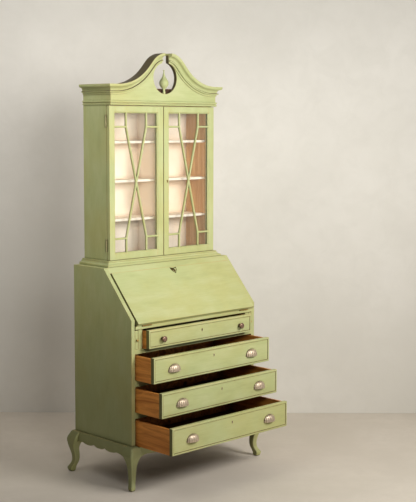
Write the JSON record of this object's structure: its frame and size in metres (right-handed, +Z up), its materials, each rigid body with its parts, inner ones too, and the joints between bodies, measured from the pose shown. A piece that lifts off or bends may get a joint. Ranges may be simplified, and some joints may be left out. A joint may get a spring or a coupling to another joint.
{
  "type": "secretary desk",
  "caption": "Painted slant-front secretary desk with graduated drawers, glazed bookcase, swan-neck pediment, finial and cabriole legs.",
  "frame": {"origin": "middle of the bounding box at floor level, with the drawers part open as at rest", "axes": "+Z up, the front faces -Y, +X to the right of someone facing the front"},
  "size_m": [0.9294, 0.7591, 2.1303],
  "materials": {
    "green_paint": "satin sage green paint over wood, lightly worn",
    "cream_paint": "matte cream paint",
    "carcass_wood": "bare, aged softwood",
    "drawer_wood": "waxed, orange-brown pine",
    "aged_metal": "dull, aged silvery bronze",
    "hinge_brass": "dull brass",
    "glass": "clear window glass"
  },
  "bodies": {
    "desk": {"aprons": "green_paint", "bookcase_back": "cream_paint", "bookcase_boards": "carcass_wood", "bookcase_partition": "cream_paint", "bookcase_sides": "green_paint", "case_back": "carcass_wood", "case_sides": "green_paint", "corner_blocks": "carcass_wood", "crown_moulding": "green_paint", "desk_top": "green_paint", "door_hinge_case_leaves": "hinge_brass", "drawer_rails": "green_paint", "drawer_runners": "carcass_wood", "fall_hinge_bed_leaves": "hinge_brass", "finial": "green_paint", "frieze_bead": "green_paint", "gallery": "carcass_wood", "hinge_pins": "hinge_brass", "leg_back_left": "green_paint", "leg_back_right": "green_paint", "leg_front_left": "green_paint", "leg_front_right": "green_paint", "loper_dividers": "green_paint", "pediment_board": "green_paint", "shelves": "cream_paint", "waist_moulding": "green_paint", "writing_bed": "green_paint"},
    "drawer_1": {"drawer_1_bottom": "drawer_wood", "drawer_1_box": "drawer_wood", "drawer_1_front": "green_paint", "drawer_1_pulls": "aged_metal"},
    "drawer_2": {"drawer_2_bottom": "drawer_wood", "drawer_2_box": "drawer_wood", "drawer_2_front": "green_paint", "drawer_2_pulls": "aged_metal"},
    "drawer_3": {"drawer_3_bottom": "drawer_wood", "drawer_3_box": "drawer_wood", "drawer_3_front": "green_paint", "drawer_3_pulls": "aged_metal"},
    "drawer_4": {"drawer_4_bottom": "drawer_wood", "drawer_4_box": "drawer_wood", "drawer_4_front": "green_paint", "drawer_4_pulls": "aged_metal"},
    "fall": {"fall_panel": "green_paint", "fall_hinge_leaves": "hinge_brass", "fall_lock_plate": "green_paint"},
    "loper_left": {"loper_left_bar": "green_paint", "loper_left_knob": "hinge_brass"},
    "door_left": {"door_left_frame": "green_paint", "door_left_glazing_bars": "green_paint", "door_left_glass": "glass", "door_left_hinge_leaves": "hinge_brass"},
    "loper_right": {"loper_right_bar": "green_paint", "loper_right_knob": "hinge_brass"},
    "door_right": {"door_right_frame": "green_paint", "door_right_glazing_bars": "green_paint", "door_right_glass": "glass", "door_right_hinge_leaves": "hinge_brass", "door_key_plate": "hinge_brass"}
  },
  "joints": [
    {"name": "drawer_1_slide", "type": "slide", "parent": "desk", "child": "drawer_1", "axis": [0, -1, 0], "range_m": [-0.047, 0.283]},
    {"name": "drawer_2_slide", "type": "slide", "parent": "desk", "child": "drawer_2", "axis": [0, -1, 0], "range_m": [-0.133, 0.197]},
    {"name": "drawer_3_slide", "type": "slide", "parent": "desk", "child": "drawer_3", "axis": [0, -1, 0], "range_m": [-0.19, 0.14]},
    {"name": "drawer_4_slide", "type": "slide", "parent": "desk", "child": "drawer_4", "axis": [0, -1, 0], "range_m": [-0.262, 0.068]},
    {"name": "fall_hinge", "type": "hinge", "parent": "desk", "child": "fall", "pos_m": [0, -0.10663, 0.804], "axis": [1, 0, 0], "range_deg": [0, 131.38]},
    {"name": "loper_left_slide", "type": "slide", "parent": "desk", "child": "loper_left", "axis": [0, -1, 0], "range_m": [0, 0.25]},
    {"name": "loper_right_slide", "type": "slide", "parent": "desk", "child": "loper_right", "axis": [0, -1, 0], "range_m": [0, 0.25]},
    {"name": "door_left_hinge", "type": "hinge", "parent": "desk", "child": "door_left", "pos_m": [-0.3654, 0.16392, 1.48], "axis": [0, 0, -1], "range_deg": [0, 110]},
    {"name": "door_right_hinge", "type": "hinge", "parent": "desk", "child": "door_right", "pos_m": [0.3654, 0.16392, 1.48], "axis": [0, 0, 1], "range_deg": [0, 110]}
  ]
}
